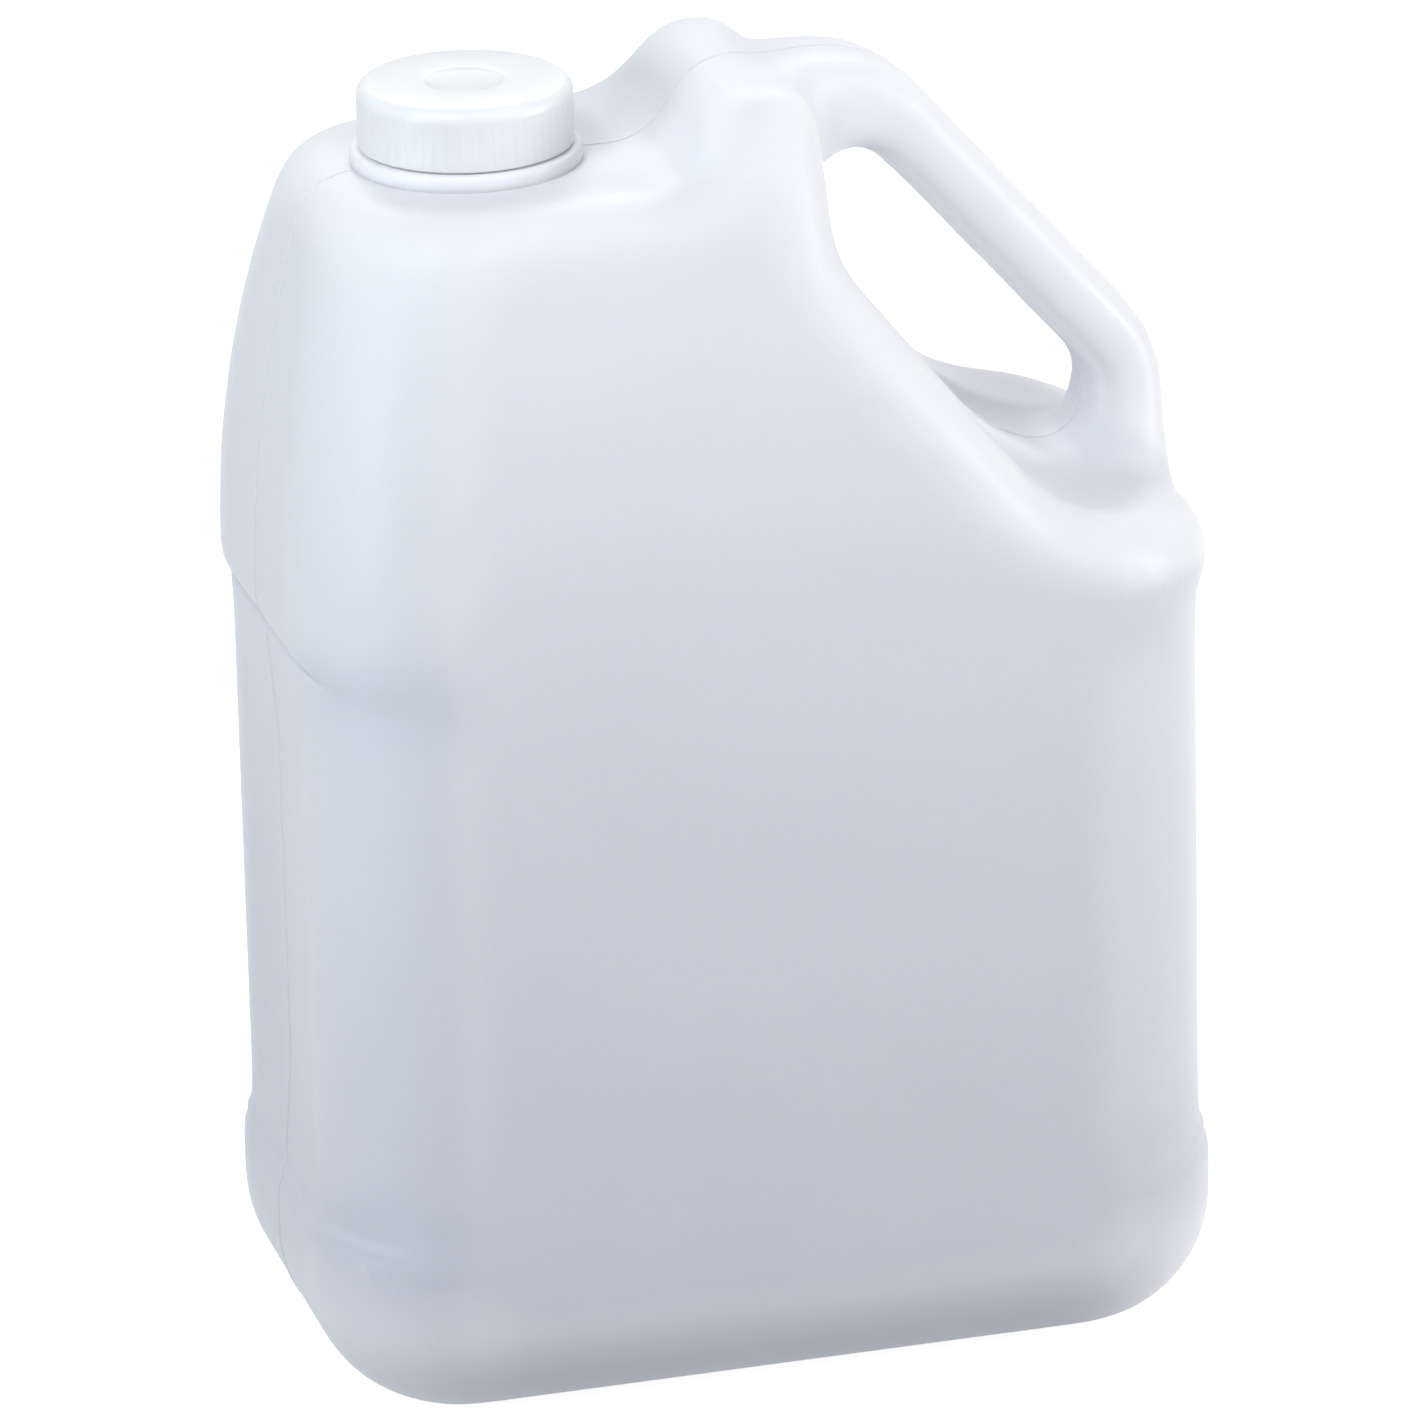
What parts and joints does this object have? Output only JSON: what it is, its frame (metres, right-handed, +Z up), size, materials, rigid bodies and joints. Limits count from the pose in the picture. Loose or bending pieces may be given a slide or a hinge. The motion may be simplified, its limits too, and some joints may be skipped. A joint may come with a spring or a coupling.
{
  "type": "handled jug",
  "caption": "One-gallon rectangular handled jug in natural plastic with a screw cap on an offset neck.",
  "frame": {"origin": "middle of the base's outline, on the plane that the jug stands on", "axes": "+Z up, +X from the neck towards the handle, +Y from the front face to the back face; the mould's parting plane is Y = 0"},
  "size_m": [0.188, 0.1164, 0.2668],
  "materials": {
    "bottle_plastic": "natural translucent polyethylene, soft sheen",
    "cap_plastic": "white polypropylene, satin",
    "liner_foam": "white foamed polyethylene, matt"
  },
  "bodies": {
    "bottle": {"bottle": "bottle_plastic"},
    "liner": {"liner": "liner_foam"},
    "cap": {"cap": "cap_plastic"}
  },
  "joints": [
    {"name": "cap_rise", "type": "slide", "parent": "bottle", "child": "liner", "axis": [0, 0, 1], "range_m": [0, 0.0127]},
    {"name": "cap_turn", "type": "hinge", "parent": "liner", "child": "cap", "pos_m": [-0.048, 0, 0.2646], "axis": [0, 0, 1], "range_deg": [0, 1085]}
  ],
  "couplings": [
    {"joint": "cap_turn", "follows": "cap_rise", "rad_per_m": 1484.2}
  ]
}
